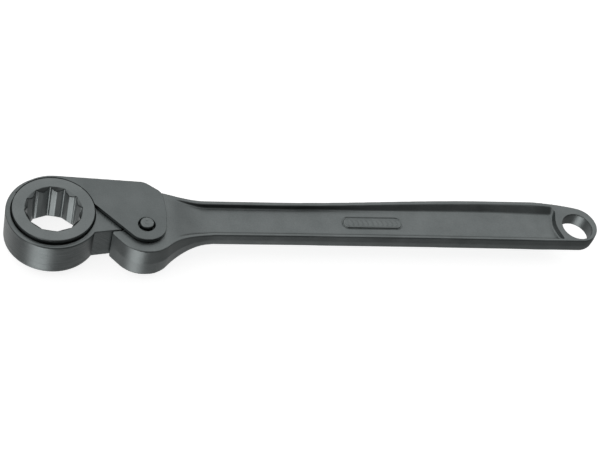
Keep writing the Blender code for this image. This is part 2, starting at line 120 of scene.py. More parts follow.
def arc(centre: Point, radius: float, start: float, end: float, step: float = 3.0) -> list[Point]:
    """Points along an arc.

    Args:
        centre: the arc's centre.
        radius: its radius.
        start: first angle, in degrees.
        end: last angle, in degrees.
        step: largest angle between two points.

    Returns:
        The points, both ends included.
    """
    count = max(1, math.ceil(abs(end - start) / step))
    return [on_circle(centre, radius, start + (end - start) * i / count) for i in range(count + 1)]


def heading(a: Point, b: Point) -> float:
    """Direction from a to b, in degrees."""
    return math.degrees(math.atan2(b[1] - a[1], b[0] - a[0]))


def touching_line(a: Point, radius_a: float, b: Point, radius_b: float, side: int) -> float:
    """Direction square to the line that touches two circles on the same side.

    Args:
        a: first centre.
        radius_a: first radius.
        b: second centre.
        radius_b: second radius.
        side: 1 for the line on the left of a to b, -1 for the one on the right.

    Returns:
        The direction from either centre to its touching point, in degrees.
    """
    return heading(a, b) + side * math.degrees(math.acos((radius_a - radius_b) / math.dist(a, b)))


def ease(t: Array | float) -> Array:
    """0 to 1 in an S-shaped curve."""
    return (1 - np.cos(np.pi * np.clip(t, 0, 1))) / 2


def spread(start: float, end: float, spacing: float) -> list[float]:
    """Evenly spaced values from start to end, no further apart than the spacing."""
    count = max(1, math.ceil(abs(end - start) / spacing))
    return [start + (end - start) * i / count for i in range(count + 1)]


# ------------------------------------------------------------------ solids as distance fields


def both(a: Array, b: Array, radius: Array | float) -> Array:
    """What two solids share.

    Args:
        a: distance to the first solid, negative inside.
        b: distance to the second one.
        radius: radius of the edge where they meet.

    Returns:
        Distance to the shared solid.
    """
    u, v = np.maximum(a + radius, 0), np.maximum(b + radius, 0)
    return np.minimum(np.maximum(a, b), -radius) + np.sqrt(u * u + v * v)


def joined(a: Array, b: Array, radius: Array | float) -> Array:
    """Two solids as one, with a fillet of that radius between them."""
    return -both(-a, -b, radius)


def cut(a: Array, b: Array, radius: Array | float) -> Array:
    """The first solid without the second, the new edges rounded to that radius."""
    return both(a, -b, radius)


def outline_distance(points: Sequence[Point], x: Array, y: Array) -> Array:
    """Distance to a closed outline, negative inside.

    Args:
        points: the outline's corners in order.
        x: sample places along X.
        y: sample places along Y.

    Returns:
        The signed distance at each place.
    """
    shape = np.broadcast_shapes(x.shape, y.shape)
    nearest = np.full(shape, np.inf, np.float32)
    inside = np.zeros(shape, bool)
    for (ax, ay), (bx, by) in zip(points, [*points[1:], points[0]]):
        dx, dy = bx - ax, by - ay
        if dx == 0 and dy == 0:
            continue
        along = np.clip(((x - ax) * dx + (y - ay) * dy) / (dx * dx + dy * dy), 0, 1)
        nearest = np.minimum(nearest, (x - ax - along * dx) ** 2 + (y - ay - along * dy) ** 2)
        crosses = (ay > y) != (by > y)
        left = ((x - ax) * dy < (y - ay) * dx) == (by > ay)
        inside ^= crosses & left
    distance = np.sqrt(nearest)
    return np.where(inside, -distance, distance)


def round_distance(centre: Point, radius: float, x: Array, y: Array) -> Array:
    """Distance to an upright cylinder, negative inside."""
    return np.hypot(x - centre[0], y - centre[1]) - radius


def bar_distance(centre: Point, length: float, width: float, x: Array, y: Array) -> Array:
    """Distance to a round-ended bar along X, negative inside."""
    half = (length - width) / 2
    return np.hypot(np.maximum(np.abs(x - centre[0]) - half, 0), y - centre[1]) - width / 2


@dataclass
class Sampling:
    """A box of sample places.

    Attributes:
        low: lowest corner, in millimetres.
        high: highest corner.
        step: spacing along each axis.
    """

    low: tuple[float, float, float]
    high: tuple[float, float, float]
    step: tuple[float, float, float]

    @classmethod
    def of_node(cls, node: str, step: float) -> Sampling:
        """Places that fill a CAD node's box, the same distance apart along every axis."""
        low, high = plan_box(node)
        return cls(tuple(low), tuple(high), (step,) * 3)

    def axes(self) -> tuple[Array, Array, Array]:
        """Sample places along X, Y and Z, shaped so that they broadcast.

        Returns:
            The three arrays of places.
        """
        places = []
        for axis in range(3):
            low, high, step = self.low[axis], self.high[axis], self.step[axis]
            count = math.ceil((high - low) / step) + 5
            middle = (low + high) / 2
            values = middle + (np.arange(count) - (count - 1) / 2) * step
            shape = [1, 1, 1]
            shape[axis] = count
            places.append(values.astype(np.float32).reshape(shape))
        return places[0], places[1], places[2]

    def surface(self, distance: Callable[[Array, Array, Array], Array]) -> tuple[Array, Array]:
        """Skins a distance field: a point in each crossed cell, a four-sided face for each crossed edge.

        Args:
            distance: signed distance at sample places.

        Returns:
            The points, in millimetres, and the faces.
        """
        x, y, z = self.axes()
        values = np.broadcast_to(distance(x, y, z), (x.size, y.size, z.size))
        inside = values < 0
        total = np.zeros((values.size, 3), np.float32)
        hits = np.zeros(values.size, np.int32)
        quads = []
        for axis in range(3):
            near = [slice(None)] * 3
            far = [slice(None)] * 3
            near[axis], far[axis] = slice(None, -1), slice(1, None)
            first, second = values[tuple(near)], values[tuple(far)]
            place = np.argwhere(inside[tuple(near)] != inside[tuple(far)])
            a, b = first[tuple(place.T)], second[tuple(place.T)]
            crossing = place.astype(np.float32)
            crossing[:, axis] += a / (a - b)
            others = ((axis + 1) % 3, (axis + 2) % 3)
            around = []
            for one, two in ((-1, -1), (0, -1), (0, 0), (-1, 0)):
                cell = place.copy()
                cell[:, others[0]] += one
                cell[:, others[1]] += two
                number = np.ravel_multi_index(tuple(cell.T), values.shape)
                around.append(number)
                hits += np.bincount(number, minlength=values.size).astype(np.int32)
                for part in range(3):
                    total[:, part] += np.bincount(number, crossing[:, part], values.size).astype(np.float32)
            face = np.stack(around, axis=1)
            outward = a < 0
            quads.append(np.where(outward[:, None], face, face[:, ::-1]))
        used = np.flatnonzero(hits)
        renumber = np.zeros(values.size, np.int64)
        renumber[used] = np.arange(len(used))
        points = total[used] / hits[used][:, None]
        start = np.array([x.flat[0], y.flat[0], z.flat[0]])
        return start + points * np.array(self.step), renumber[np.concatenate(quads)]


# ------------------------------------------------------------------ meshes


def to_place(points: Array) -> Array:
    """Plan points in millimetres as frame points in metres."""
    return points * MM + np.array(RING_PLACE)


def mesh_object(name: str, points: Array, faces: Array) -> bpy.types.Object:
    """Makes a smooth-shaded mesh object from points in metres.

    Args:
        name: the piece's name.
        points: one row a point.
        faces: one row a face, all with the same number of corners.

    Returns:
        The linked object.
    """
    mesh = bpy.data.meshes.new(name)
    count, corners = faces.shape
    mesh.vertices.add(len(points))
    mesh.vertices.foreach_set("co", np.ascontiguousarray(points, np.float32).ravel())
    mesh.loops.add(count * corners)
    mesh.loops.foreach_set("vertex_index", faces.astype(np.int32).ravel())
    mesh.polygons.add(count)
    mesh.polygons.foreach_set("loop_start", np.arange(0, count * corners, corners, dtype=np.int32))
    mesh.update(calc_edges=True)
    mesh.validate()
    mesh.shade_smooth()
    made = bpy.data.objects.new(name, mesh)
    bpy.context.scene.collection.objects.link(made)
    return made


def turned(name: str, profile: Sequence[Point], place: Matrix, steps: int = 128) -> bpy.types.Object:
    """Turns a closed profile about Z.

    Args:
        name: the piece's name.
        profile: (radius, height) points in millimetres, anticlockwise round the section.
        place: carries the piece, in metres, to its place in the frame.
        steps: number of sides.

    Returns:
        The piece, welded where the profile meets the axis.
    """
    radius, height = np.array(profile).T
    angle = np.arange(steps)[:, None] * 2 * math.pi / steps
    rows = [radius * np.cos(angle), radius * np.sin(angle), height + 0 * angle]
    points = np.stack(rows, axis=2).reshape(-1, 3) * MM
    count = len(profile)
    turn, spot = np.meshgrid(np.arange(steps), np.arange(count), indexing="ij")
    following = (turn + 1) % steps
    beside = (spot + 1) % count
    here, there = turn * count, following * count
    corners = (here + spot, there + spot, there + beside, here + beside)
    faces = np.stack([corner.ravel() for corner in corners], axis=1)
    made = mesh_object(name, points, faces)
    weld = made.modifiers.new("Weld", "WELD")
    weld.merge_threshold = 0.001 * MM
    apply_modifiers(made)
    made.data.transform(place)
    made.data.shade_smooth()
    made.data.set_sharp_from_angle(angle=math.radians(35))
    return made


def apply_modifiers(piece: bpy.types.Object) -> None:
    """Bakes a piece's modifiers into its mesh.

    Args:
        piece: the object to change.
    """
    bpy.context.view_layer.update()
    graph = bpy.context.evaluated_depsgraph_get()
    mesh = bpy.data.meshes.new_from_object(piece.evaluated_get(graph))
    old = piece.data
    piece.modifiers.clear()
    piece.data = mesh
    bpy.data.meshes.remove(old)


def rounded_profile(corners: Sequence[tuple[float, float, float]]) -> list[Point]:
    """A section whose corners are rounded.

    Args:
        corners: (radius from the axis, height, corner radius) in order.

    Returns:
        The section's points, with four on each rounded corner.
    """
    points: list[Point] = []
    for i, (r, z, size) in enumerate(corners):
        here = np.array([r, z])
        before = np.array(corners[i - 1][:2]) - here
        after = np.array(corners[(i + 1) % len(corners)][:2]) - here
        if size == 0:
            points.append((r, z))
            continue
        start = here + before / np.linalg.norm(before) * size
        end = here + after / np.linalg.norm(after) * size
        for t in (0, 1 / 3, 2 / 3, 1):
            bend = (1 - t) ** 2 * start + 2 * t * (1 - t) * here + t * t * end
            points.append((float(bend[0]), float(bend[1])))
    return points


# ------------------------------------------------------------------ finishes


def linear(hex_colour: str) -> tuple[float, float, float, float]:
    """An sRGB hex colour as linear light.

    Args:
        hex_colour: six hex digits, with or without a hash.

    Returns:
        Red, green, blue and an alpha of 1.
    """
    digits = hex_colour.lstrip("#")
    values = [int(digits[i : i + 2], 16) / 255 for i in (0, 2, 4)]
    light = [v / 12.92 if v <= 0.04045 else ((v + 0.055) / 1.055) ** 2.4 for v in values]
    return light[0], light[1], light[2], 1.0


def add_node(tree: bpy.types.NodeTree, kind: str, inputs: dict, **settings: object) -> bpy.types.Node:
    """Adds a node with its settings, values and links.

    Args:
        tree: the node tree.
        kind: the node's type name.
        inputs: a value or an output socket for each input, by its name or number.
        **settings: the node's own settings.

    Returns:
        The new node.
    """
    made = tree.nodes.new(kind)
    for key, value in settings.items():
        setattr(made, key, value)
    for key, value in inputs.items():
        if isinstance(value, bpy.types.NodeSocket):
            tree.links.new(value, made.inputs[key])
        else:
            made.inputs[key].default_value = value
    return made


class Lay(Enum):
    """How a steel surface was made, which sets the direction of its marks."""

    FORGED = "forged in dies and blasted"
    BLANKED = "blanked from rolled plate and tumbled"
    TURNED = "turned on a lathe"


@dataclass(frozen=True)
class SteelFinish:
    """Steel under a thin zinc or manganese phosphate coat, oiled: a dark grey metal with a soft gloss.

    Attributes:
        name: the material and how its surface was made.
        lay: kind of marks under the coat.
        light: colour of the thin, rubbed coat.
        dark: colour of the full coat.
        edge_wear_and_highlight_colour: colour of convex edges, partly steel rubbed bright and partly a painted
            highlight.
        roughness: middle roughness.
        spread: how far roughness wanders to each side.
        grain_mm: size of the coat's crystals, drawn as coarse as they need to show.
        grain_depth_mm: their height.
        mark_mm: spacing of tool marks, or size of forging ripples.
        mark_depth_mm: their depth.
        streak_mm: length of a turned line before it fades into another.
    """

    name: str
    lay: Lay
    light: str = "767b7b"
    dark: str = "686d6d"
    # Colour of convex edges: partly steel rubbed bright, partly a painted edge highlight.
    edge_wear_and_highlight_colour: str = "9aa09f"
    roughness: float = 0.34
    spread: float = 0.06
    grain_mm: float = 0.9
    grain_depth_mm: float = 0.012
    mark_mm: float = 0.6
    mark_depth_mm: float = 0.01
    streak_mm: float = 18.0

    def build(self, axis: Vector) -> bpy.types.Material:
        """Builds the material.

        Args:
            axis: a point on the upright axis that turned marks run round, in metres.

        Returns:
            The finished material.
        """
        material = bpy.data.materials.new(self.name)
        material.use_nodes = True
        tree = material.node_tree
        tree.nodes.clear()
        place = add_node(tree, "ShaderNodeTexCoord", {}).outputs["Object"]
        local = add_node(tree, "ShaderNodeVectorMath", {0: place, 1: axis}, operation="SUBTRACT").outputs[0]
        # Crystals of the coat: fine, even grain that breaks up the gloss.
        grain = add_node(
            tree, "ShaderNodeTexNoise", {"Vector": local, "Scale": 1 / (self.grain_mm * MM), "Detail": 3.0}
        ).outputs["Fac"]
        # Patches some 15 mm across where oil and handling change the tone.
        patches = add_node(
            tree, "ShaderNodeTexNoise", {"Vector": local, "Scale": 1 / (15 * MM), "Detail": 4.0}
        ).outputs["Fac"]
        marks = self.marks(tree, local)
        fine_share = add_node(
            tree, "ShaderNodeMath", {0: grain, 1: 0.4}, operation="MULTIPLY"
        ).outputs[0]
        tone = add_node(
            tree, "ShaderNodeMath", {0: patches, 1: 0.6, 2: fine_share}, operation="MULTIPLY_ADD"
        ).outputs[0]
        tone = add_node(
            tree, "ShaderNodeMapRange", {"Value": tone, "From Min": 0.36, "From Max": 0.64}
        ).outputs["Result"]
        coat = add_node(
            tree, "ShaderNodeMix", {0: tone, 6: linear(self.dark), 7: linear(self.light)}, data_type="RGBA"
        ).outputs[2]
        # Convex edges come out lighter: partly steel rubbed bright, partly a painted edge highlight.
        edges = add_node(tree, "ShaderNodeNewGeometry", {}).outputs["Pointiness"]
        edge_wear_and_highlight_mask = add_node(
            tree,
            "ShaderNodeMapRange",
            {"Value": edges, "From Min": 0.53, "From Max": 0.60, "To Max": 0.7},
        ).outputs["Result"]
        colour = add_node(
            tree, "ShaderNodeMix", {0: edge_wear_and_highlight_mask, 6: coat, 7: linear(self.edge_wear_and_highlight_colour)}, data_type="RGBA"
        ).outputs[2]
        gloss = add_node(
            tree,
            "ShaderNodeMapRange",
            {
                "Value": add_node(tree, "ShaderNodeMath", {0: marks, 1: tone}, operation="ADD").outputs[0],
                "From Max": 2.0,
                "To Min": self.roughness - self.spread,
                "To Max": self.roughness + self.spread,
            },
        ).outputs["Result"]
        coarse = add_node(
            tree, "ShaderNodeBump", {"Height": marks, "Distance": self.mark_depth_mm * MM, "Strength": 1.0}
        ).outputs["Normal"]
        fine = add_node(
            tree,
            "ShaderNodeBump",
            {"Height": grain, "Distance": self.grain_depth_mm * MM, "Strength": 1.0, "Normal": coarse},
        ).outputs["Normal"]
        shader = add_node(
            tree,
            "ShaderNodeBsdfPrincipled",
            {"Base Color": colour, "Metallic": 1.0, "Roughness": gloss, "Normal": fine},
        )
        add_node(tree, "ShaderNodeOutputMaterial", {"Surface": shader.outputs[0]})
        return material

    def marks(self, tree: bpy.types.NodeTree, local: bpy.types.NodeSocket) -> bpy.types.NodeSocket:
        """Marks left by how the surface was made.

        Args:
            tree: the material's nodes.
            local: position from the turning axis.

        Returns:
            The marks' height, 0 to 1.
        """
        frequency = 1 / (self.mark_mm * MM)
        if self.lay is Lay.FORGED:
            return add_node(
                tree, "ShaderNodeTexNoise", {"Vector": local, "Scale": frequency, "Detail": 2.0}
            ).outputs["Fac"]
        if self.lay is Lay.BLANKED:
            along = add_node(
                tree, "ShaderNodeVectorMath", {0: local, 1: (0.06, 1.0, 0.06)}, operation="MULTIPLY"
            ).outputs[0]
            return add_node(
                tree, "ShaderNodeTexNoise", {"Vector": along, "Scale": frequency, "Detail": 2.0}
            ).outputs["Fac"]
        # Turned lines circle the axis: rings on a face, level lines round a wall.
        flat = add_node(
            tree, "ShaderNodeVectorMath", {0: local, 1: (1, 1, 0)}, operation="MULTIPLY"
        ).outputs[0]
        reach = add_node(tree, "ShaderNodeVectorMath", {0: flat}, operation="LENGTH").outputs["Value"]
        split = add_node(tree, "ShaderNodeSeparateXYZ", {0: local})
        spiral = add_node(
            tree, "ShaderNodeMath", {0: reach, 1: split.outputs["Z"]}, operation="ADD"
        ).outputs[0]
        streak = self.mark_mm / self.streak_mm
        short = [
            add_node(tree, "ShaderNodeMath", {0: split.outputs[axis], 1: streak}, operation="MULTIPLY").outputs[0]
            for axis in ("X", "Y")
        ]
        place = add_node(tree, "ShaderNodeCombineXYZ", {0: short[0], 1: short[1], 2: spiral}).outputs[0]
        return add_node(
            tree, "ShaderNodeTexNoise", {"Vector": place, "Scale": frequency, "Detail": 2.0}
        ).outputs["Fac"]


# Blasted forging: faint ripples from the dies under an even satin coat.
FORGED = SteelFinish(
    "phosphated_steel_drop_forged",
    Lay.FORGED,
    light="7a7f7f",
    dark="6c7171",
    grain_depth_mm=0.03,
    roughness=0.40,
    mark_mm=3.5,
    mark_depth_mm=0.04,
)
# Machined collar: level lines round its wall that break the highlight into streaks.
MACHINED = SteelFinish(
    "phosphated_steel_machined", Lay.TURNED, light="737878", dark="676c6c", mark_mm=0.9, mark_depth_mm=0.2
)
# Rolled plate: smoother, with hardly visible rolling lines along its length.
PLATE = SteelFinish(
    "phosphated_steel_blanked_plate",
    Lay.BLANKED,
    light="707575",
    dark="646969",
    mark_mm=0.8,
    mark_depth_mm=0.006,
)
# Turned ring: fine rings on the flange.
RING = SteelFinish("phosphated_steel_turned", Lay.TURNED, light="7c8181", dark="707575", mark_mm=0.5)
# Pin: ground bright before a thin coat, so a little lighter than the plate.
PIN = SteelFinish(
    "phosphated_steel_ground_pin", Lay.TURNED, light="787d7d", dark="6b7070", roughness=0.30, mark_mm=0.4
)
# Spring steel under oil: darker and glossier.
SPRING = SteelFinish(
    "spring_steel_oil_tempered", Lay.TURNED, light="5c5f61", dark="484b4d", roughness=0.26, mark_mm=0.4
)


@dataclass
class Wardrobe:
    """Materials made so far, one for each finish and axis."""

    made: dict[tuple[str, float], bpy.types.Material] = field(default_factory=dict)

    def dress(self, piece: bpy.types.Object, finish: SteelFinish, axis: Vector) -> None:
        """Gives a piece a finish.

        Args:
            piece: what to dress.
            finish: its finish.
            axis: the axis that turned marks run round.
        """
        key = (finish.name, round(axis.x, 6))
        if key not in self.made:
            self.made[key] = finish.build(axis)
        piece.data.materials.clear()
        piece.data.materials.append(self.made[key])


# ------------------------------------------------------------------ the tool's sizes


@dataclass(frozen=True)
class Layout:
    """Sizes that several pieces share, in millimetres."""

    across_flats: float = 30.0
    socket_turn: float = 4.5
    gap: float = 0.3
    flange_r: float = half_size("retaining_washer", 0)
    collar_r: float = half_size("clamp_collar", 1)
    collar_half: float = half_size("clamp_collar", 2)
    head_half: float = half_size("handle", 2)
    plate_out: float = top_of("cheek_plate_top")
    plate_t: float = 2 * half_size("cheek_plate_top", 2)
    flange_top: float = top_of("ring_insert")
    pin_top: float = top_of("pivot_pin")
    insert_r: float = 22.0
    seat_depth: float = 1.0
    seat_gap: float = 0.5
    throat: float = 3.0
    boss_r: float = 12.0
    pin_r: float = 4.2
    pin_shoulder: float = 1.3
    dowel_r: float = 2.0
    dowel_depth: float = 1.5
    arm_tip_y: float = -13.3
    arm_slope: float = 0.15

    @property
    def pin(self) -> Point:
        """Pivot pin's place from the ring's axis."""
        offset = (PIN_PLACE - RING_PLACE) / MM
        return offset.x, offset.y

    @property
    def pin_bore_r(self) -> float:
        """Radius of the handle's bore round the pin."""
        return self.pin_r + self.pin_shoulder + self.gap

    def dowel_distance(self, x: Array, y: Array) -> Array:
        """Distance to the dowel pins' holes, which run along Z.

        Args:
            x: places along X.
            y: places along Y.

        Returns:
            The distance at each place.
        """
        nearest = np.inf
        for node in DOWELS:
            low, high = plan_box(node)
            middle = (low + high) / 2
            nearest = np.minimum(nearest, round_distance(middle, self.dowel_r + self.gap, x, y))
        return nearest

    @property
    def corner_r(self) -> float:
        """Radius of the socket's corners."""
        return self.across_flats / 2 / math.cos(math.radians(30))

    @property
    def ridge_r(self) -> float:
        """Radius of the socket's ridges."""
        return self.across_flats / 2 / math.cos(math.radians(15))

    @property
    def bore_r(self) -> float:
        """Radius of the collar's bore."""
        return self.insert_r + self.gap

    @property
    def seat_z(self) -> float:
        """Level of the recess under the flange."""
        return self.collar_half - self.seat_depth

    @property
    def lug_x(self) -> float:
        """End of the collar's lug and arm."""
        return self.pin[0] - self.boss_r - self.throat

    def arm_edge(self, x: float) -> float:
        """Lower edge of the collar's arm at x."""
        return self.arm_tip_y + self.arm_slope * (x - self.lug_x)


@dataclass(frozen=True)
class Handle:
    """Drop-forged handle: cam lobe and nose, I-section shank, badge plate and eye."""

    layout: Layout
    lobe_r: float = 20.0
    nose_reach: float = 19.3
    nose_tip_r: float = 1.6
    head_top_y: float = 17.6
    head_corner_r: float = 3.0
    neck_r: float = 45.0
    neck_rim_r: float = 49.0
    shank_low_y: float = -11.45
    shank_top_y: float = 16.8
    belly_y: float = 21.4
    shoulder_r: float = 150.0
    flare: Point = (10.0, 24.0)
    belly_rise: Point = (87.0, 239.0)
    rim_drop: Point = (5.0, 42.0)
    web_drop: Point = (6.0, 44.0)
    rim_from: float = 0.7
    web_from: float = 0.9
    rim_half_start: float = 4.6
    rim_half_end: float = 5.15
    web_half: float = 1.3
    rim_w: float = 2.35
    upper_rim_w: float = 2.8
    web_foot_y: float = 13.8
    web_foot_fall: float = 1.4
    web_foot_bend: Point = (229.0, 284.0)
    wall_draft: float = 0.5
    reach: float = 355.4
    hang_r: float = 10.7
    end_r: float = 15.1
    end_shift: Point = (0.0, 1.9)
    eye_r: float = 15.0
    eye_wall: float = 12.8
    eye_draft: float = 0.45
    recess_r: float = 3.0
    foot_r: float = 5.0
    least_depth: float = 0.3
    floor_r: float = 0.5
    corner_blend: float = 0.6
    badge_from_pin: float = 152.6
    badge_y: float = 3.0
    badge_size: Point = (40.0, 8.0)
    badge_proud: float = 0.5
    badge_border: float = 1.1
    badge_edge: float = 0.2
    badge_inset: float = 1.98
    badge_pitch: float = 3.4
    badge_slant: float = 0.35
    badge_groove: Point = (0.9, 0.35)
    forged_from: Point = (2.0, 9.0)
    side_draft: float = 0.06
    lobe_draft: Point = (-14.0, -26.0)
    lobe_share: float = 0.7
    edge_r: float = 0.35
    forged_edge: float = 0.1
    rim_edge: float = 0.3
    eye_edge: float = 0.4
    bore_edge: float = 0.2
    side_swell: float = 0.25
    plunger_y: float = 9.0
    plunger_r: float = 3.0
    bore_depth: float = 16.0
    grid: float = 0.5

    @property
    def end(self) -> Point:
        """Centre of the end's outline."""
        return self.reach + self.end_shift[0], self.end_shift[1]

    @property
    def neck_x(self) -> float:
        """Where the neck's hollow curve meets the straight lower edge."""
        rise = self.layout.pin[1] - self.shank_low_y + self.neck_r
        return self.layout.pin[0] + math.sqrt((self.lobe_r + self.neck_r) ** 2 - rise**2)

    @property
    def shoulder(self) -> Point:
        """Centre of the long curve from the belly to the end."""
        y = self.belly_y - self.shoulder_r
        return self.end[0] - math.sqrt((self.shoulder_r - self.end_r) ** 2 - (self.end[1] - y) ** 2), y

    def along(self, x: Array | float, span: Point) -> Array:
        """How far x lies along a span that is measured from the pin."""
        return (x - self.layout.pin[0] - span[0]) / (span[1] - span[0])

    def lower_edge(self, x: Array | float) -> Array:
        """Lower outline of the shank."""
        t = np.maximum(0, (x - self.neck_x) / (self.end[0] - self.neck_x))
        return self.shank_low_y - (self.shank_low_y - self.end[1] + self.end_r) * t**2

    def upper_edge(self, x: Array | float) -> Array:
        """Upper outline from the head to the end.

        Args:
            x: places along X.

        Returns:
            Y of the upper outline at each place.
        """
        centre = self.shoulder
        flare = (self.head_top_y - self.shank_top_y) * (1 - ease(self.along(x, self.flare)))
        rise = (self.belly_y - self.shank_top_y) * ease(self.along(x, self.belly_rise))
        under = np.maximum(self.shoulder_r**2 - np.maximum(x - centre[0], 0) ** 2, 0)
        return np.where(x > centre[0], centre[1] + np.sqrt(under), self.shank_top_y + flare + rise)

    def rim_half(self, x: Array) -> Array:
        """Half the rim's thickness as forged.

        Args:
            x: places along X.

        Returns:
            Half the thickness at each place.
        """
        start = self.layout.head_half + self.rim_from
        pin_x = self.layout.pin[0]
        taper = (self.rim_half_end - self.rim_half_start) * np.maximum(0, (x - pin_x) / (self.reach - pin_x))
        return start + (self.rim_half_start - start) * ease(self.along(x, self.rim_drop)) + taper

    def web_level(self, x: Array) -> Array:
        """Half the web's thickness."""
        start = self.layout.head_half + self.web_from
        return start + (self.web_half - start) * ease(self.along(x, self.web_drop))

    def rim_lower(self, x: Array) -> Array:
        """Inner edge of the lower rim.

        Args:
            x: places along X.

        Returns:
            Y of the edge at each place.
        """
        under = np.maximum(self.neck_rim_r**2 - (x - self.neck_x) ** 2, 0)
        neck = self.shank_low_y + self.rim_w - self.neck_rim_r + np.sqrt(under)
        return np.where(x > self.neck_x, self.lower_edge(x) + self.rim_w, neck)

    def rim_upper(self, x: Array) -> Array:
        """Inner edge of the upper rim."""
        return self.upper_edge(np.maximum(x, self.layout.pin[0] + self.flare[1])) - self.upper_rim_w

    def outline(self) -> list[Point]:
        """The handle from above.

        Returns:
            The closed outline.
        """
        pin, neck = self.layout.pin, (self.neck_x, self.shank_low_y - self.neck_r)
        slope = math.degrees(math.atan(self.layout.arm_slope))
        tip_x = pin[0] - self.nose_reach
        drop = self.nose_tip_r / math.cos(math.radians(slope))
        tip = (tip_x, self.layout.arm_edge(tip_x) - self.layout.gap - drop)
        lobe_start = touching_line(tip, self.nose_tip_r, pin, self.lobe_r, -1) + 360
        lobe_end = heading(pin, neck) + 360
        shoulder_end = heading(self.shoulder, self.end)
        left = pin[0] - self.layout.boss_r
        corner = (left + self.head_corner_r, self.head_top_y - self.head_corner_r)
        boss_drop = pin[1] + self.layout.gap - self.layout.arm_edge(left)
        points = arc(tip, self.nose_tip_r, 90 + slope, lobe_start, 8)
        points += arc(pin, self.lobe_r, lobe_start, lobe_end)
        points += arc(neck, self.neck_r, lobe_end - 180, 90, 2)[1:]
        points += [(x, float(self.lower_edge(x))) for x in spread(self.neck_x, self.end[0], 20)[1:-1]]
        points += arc(self.end, self.end_r, -90, shoulder_end, 4)
        points += arc(self.shoulder, self.shoulder_r, shoulder_end, 90, 1)[1:]
        rise = spread(pin[0] + self.belly_rise[1], pin[0] + self.belly_rise[0], 6)
        flare = spread(pin[0] + self.flare[1], pin[0] + self.flare[0], 2)
        points += [(x, float(self.upper_edge(x))) for x in rise + flare]
        points += arc(corner, self.head_corner_r, 90, 180, 10)
        boss_end = 180 + math.degrees(math.asin(boss_drop / self.layout.boss_r))
        return points + arc(pin, self.layout.boss_r, 180, boss_end)

    def recess(self, x: Array, y: Array, level: Array) -> Array:
        """Distance to the hollow on either side of the web.

        Args:
            x: places along the handle.
            y: places across it.
            level: heights from the mid-plane, without sign.

        Returns:
            The distance, negative in the hollow.
        """
        rim, web = self.rim_half(x), self.web_level(x)
        depth = np.maximum(rim - web, self.least_depth)
        lip = self.rim_upper(x)
        fall = self.web_foot_fall * ease(self.along(x, self.web_foot_bend))
        foot = np.minimum(lip - self.wall_draft, self.web_foot_y - fall)
        upper = ((y - foot) * depth - (level - web) * (lip - foot)) / np.hypot(depth, lip - foot)
        low_foot = self.rim_lower(x) + self.wall_draft
        lower = ((low_foot - y) * depth - (level - web) * self.wall_draft) / np.hypot(depth, self.wall_draft)
        slope = np.gradient(web.ravel(), x.ravel()).reshape(web.shape)
        floor = (web - level) / np.sqrt(1 + slope**2)
        deep = np.maximum(rim - level, 0)
        eye = self.eye_r + self.eye_draft * deep - np.hypot(x - self.end[0], y - self.end[1])
        end = both(eye, x - self.end[0] + self.eye_wall + self.side_draft * deep, self.recess_r)
        far = both(both(upper, end, self.recess_r), floor, self.floor_r)
        near = both(lower, floor, np.minimum(depth, self.foot_r))
        return both(far, near, self.corner_blend)

    def badge_plate(self, x: Array, y: Array) -> Array:
        """Distance to the badge's outline, a round-ended bar."""
        centre = (self.layout.pin[0] + self.badge_from_pin, self.badge_y)
        return bar_distance(centre, *self.badge_size, x, y)

    def groove(self, x: Array, y: Array, level: Array) -> Array:
        """Distance to the shallow groove round the badge.

        Args:
            x: places along X.
            y: places along Y.
            level: distance from mid thickness.

        Returns:
            The distance at each place.
        """
        width, depth = self.badge_groove
        beside = np.abs(self.badge_plate(x, y) - width / 2) - width / 2
        return both(beside, self.web_half - depth - level, 0.1)

    def badge(self, x: Array, y: Array, level: Array) -> Array:
        """Distance to the raised badge: a border round a row of slanted bars.

        Args:
            x: places along X.
            y: places along Y.
            level: distance from mid thickness.

        Returns:
            The distance at each place.
        """
        plate = self.badge_plate(x, y)
        top = self.web_half + self.badge_proud
        border = np.abs(plate + self.badge_border / 2) - self.badge_border / 2
        half_pitch = self.badge_pitch / 2
        stripe = np.abs((x + self.badge_slant * y) % self.badge_pitch - half_pitch) - half_pitch / 2
        bars = both(stripe, plate + self.badge_inset, self.badge_edge)
        return both(np.minimum(border, bars), level - top, self.badge_edge)

    def distance(self, x: Array, y: Array, z: Array) -> Array:
        """Distance to the forging, negative in the steel.

        Args:
            x: places along X.
            y: places along Y.
            z: places along Z.

        Returns:
            The distance at each place.
        """
        level = np.abs(z)
        forged = ease(self.along(x, self.forged_from))
        lobe = self.lobe_share * ease((self.lobe_draft[0] - y) / (self.lobe_draft[0] - self.lobe_draft[1]))
        swell = self.side_swell * (1 - ease((x - self.end[0] + 2 * self.end_r) / self.end_r))
        side = outline_distance(self.outline(), x, y) - forged * swell
        side = side + np.maximum(forged, lobe) * self.side_draft * level
        rim = self.rim_half(x)
        slope = np.gradient(rim.ravel(), x.ravel()).reshape(rim.shape)
        faces = both((level - rim) / np.sqrt(1 + slope**2), level - self.layout.head_half, 0.1)
        body = both(side, faces, self.edge_r + self.forged_edge * forged)
        body = cut(body, self.recess(x, y, level), self.rim_edge)
        body = cut(body, self.groove(x, y, level), 0.15)
        body = joined(body, self.badge(x, y, level), 0.1)
        body = cut(body, round_distance((self.reach, 0), self.hang_r, x, y), self.eye_edge)
        body = cut(body, round_distance(self.layout.pin, self.layout.pin_bore_r, x, y), self.bore_edge)
        start = self.layout.pin[0] - self.layout.boss_r
        round_bore = np.hypot(y - self.plunger_y, z) - self.plunger_r - self.layout.gap
        return cut(body, np.maximum(round_bore, x - start - self.bore_depth), self.bore_edge)

    def build(self, wardrobe: Wardrobe) -> list[bpy.types.Object]:
        """Builds and dresses the handle.

        Args:
            wardrobe: the materials.

        Returns:
            The handle's pieces.
        """
        points, faces = Sampling.of_node("handle", self.grid).surface(self.distance)
        piece = mesh_object("handle_forging", to_place(points), faces)
        wardrobe.dress(piece, FORGED, PIN_PLACE)
        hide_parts("handle")
        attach(piece, "handle")
        return [piece]


